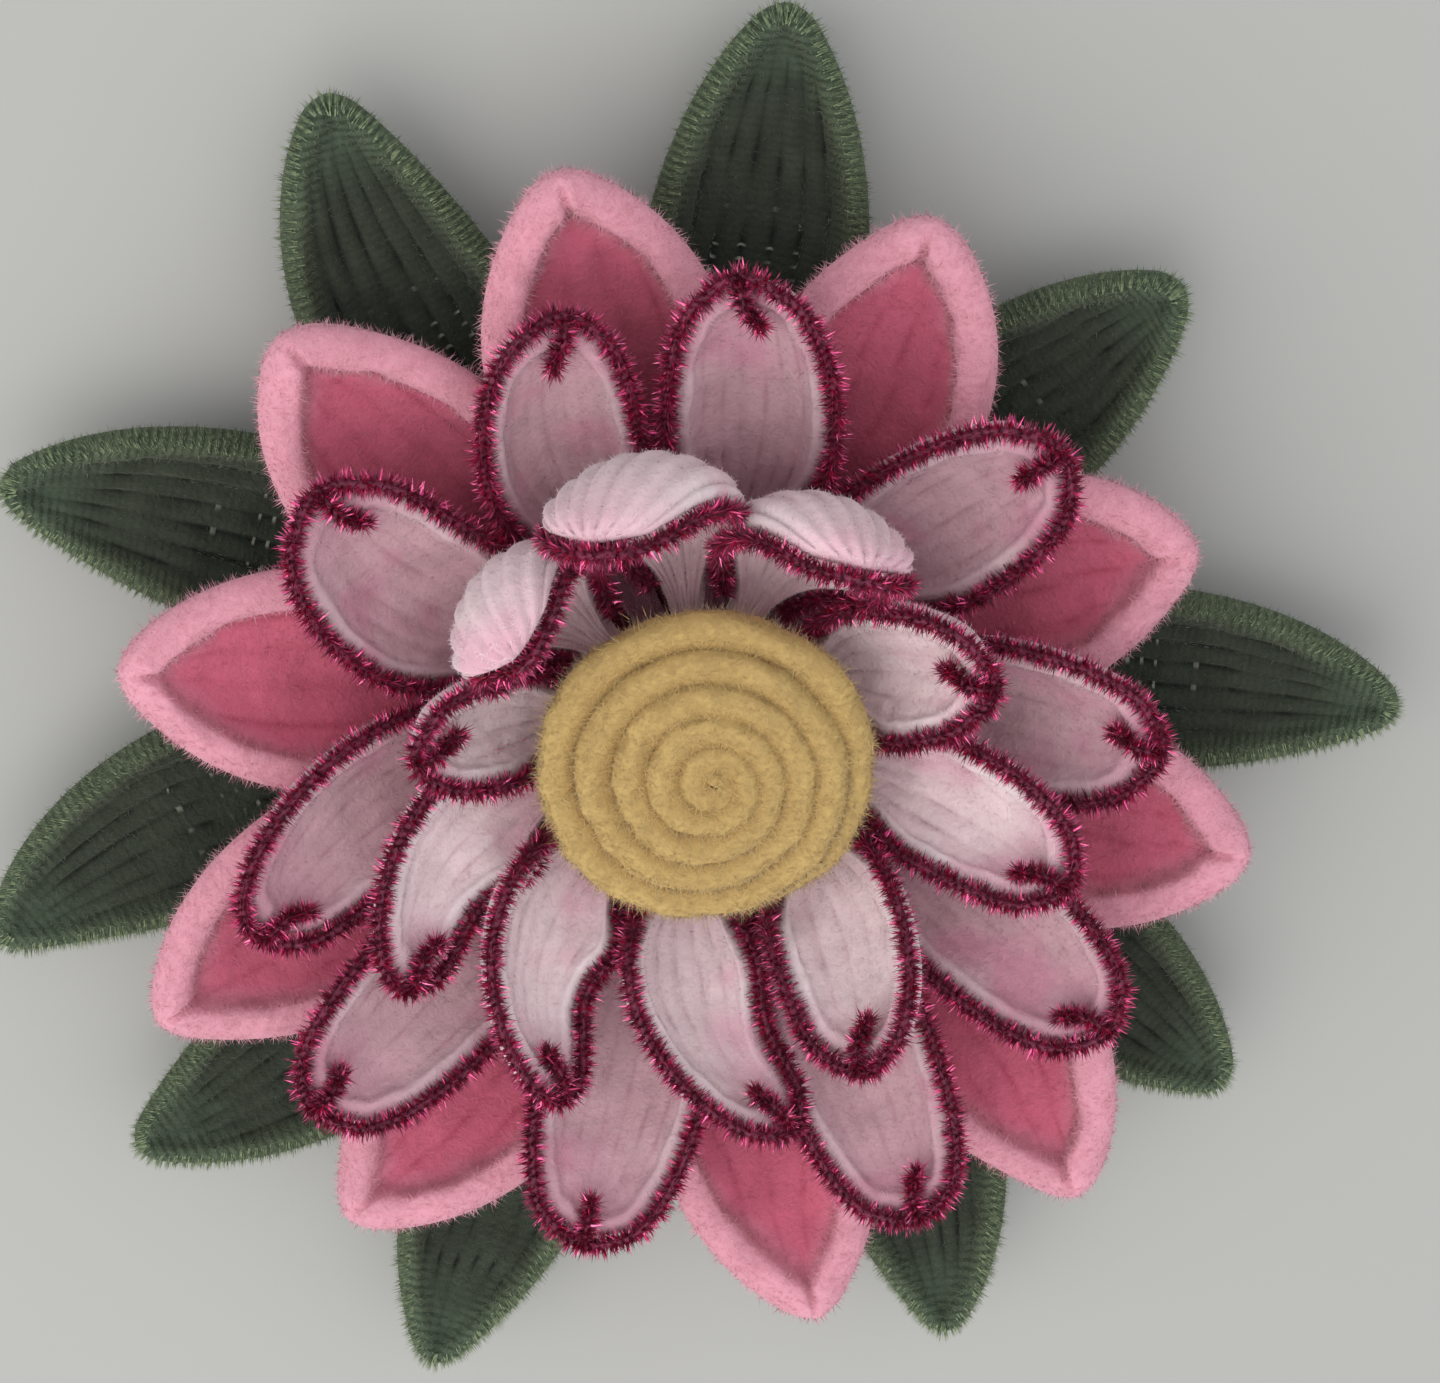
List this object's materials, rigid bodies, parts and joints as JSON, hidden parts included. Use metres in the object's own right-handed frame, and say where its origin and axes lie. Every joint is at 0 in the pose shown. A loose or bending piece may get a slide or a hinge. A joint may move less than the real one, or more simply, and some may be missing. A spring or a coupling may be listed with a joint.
{
  "type": "chenille stem flower",
  "caption": "Layered flower of chenille stems with green leaves, pink and white cupped petals, tinsel edges and a coiled yellow centre.",
  "frame": {"origin": "on the flower's axis, at the flat underside of the felt backing", "axes": "+Z along the flower's axis towards its open side, +Y towards the flower's top"},
  "size_m": [0.2922, 0.2958, 0.0925],
  "materials": {
    "green_plush": "matte",
    "pink_plush": "matte",
    "white_plush": "matte",
    "magenta_tinsel": "gloss",
    "yellow_plush": "matte",
    "green_felt": "matte"
  },
  "bodies": {
    "root": {"centre_coil": "yellow_plush", "felt_backing": "green_felt", "inner_petal_01": "white_plush", "inner_petal_02": "white_plush", "inner_petal_03": "white_plush", "inner_petal_04": "white_plush", "inner_petal_05": "white_plush", "inner_petal_06": "white_plush", "inner_petal_07": "white_plush", "inner_petal_08": "white_plush", "inner_petal_09": "white_plush", "inner_petal_10": "white_plush", "inner_petal_tinsel_01": "magenta_tinsel", "inner_petal_tinsel_02": "magenta_tinsel", "inner_petal_tinsel_03": "magenta_tinsel", "inner_petal_tinsel_04": "magenta_tinsel", "inner_petal_tinsel_05": "magenta_tinsel", "inner_petal_tinsel_06": "magenta_tinsel", "inner_petal_tinsel_07": "magenta_tinsel", "inner_petal_tinsel_08": "magenta_tinsel", "inner_petal_tinsel_09": "magenta_tinsel", "inner_petal_tinsel_10": "magenta_tinsel", "leaf_whorl": "green_plush", "outer_petal_01": "white_plush", "outer_petal_02": "white_plush", "outer_petal_03": "white_plush", "outer_petal_04": "white_plush", "outer_petal_05": "white_plush", "outer_petal_06": "white_plush", "outer_petal_07": "white_plush", "outer_petal_08": "white_plush", "outer_petal_09": "white_plush", "outer_petal_10": "white_plush", "outer_petal_tinsel_01": "magenta_tinsel", "outer_petal_tinsel_02": "magenta_tinsel", "outer_petal_tinsel_03": "magenta_tinsel", "outer_petal_tinsel_04": "magenta_tinsel", "outer_petal_tinsel_05": "magenta_tinsel", "outer_petal_tinsel_06": "magenta_tinsel", "outer_petal_tinsel_07": "magenta_tinsel", "outer_petal_tinsel_08": "magenta_tinsel", "outer_petal_tinsel_09": "magenta_tinsel", "outer_petal_tinsel_10": "magenta_tinsel", "pink_petal_01": "pink_plush", "pink_petal_02": "pink_plush", "pink_petal_03": "pink_plush", "pink_petal_04": "pink_plush", "pink_petal_05": "pink_plush", "pink_petal_06": "pink_plush", "pink_petal_07": "pink_plush", "pink_petal_08": "pink_plush", "pink_petal_09": "pink_plush", "pink_petal_10": "pink_plush"}
  },
  "joints": []
}
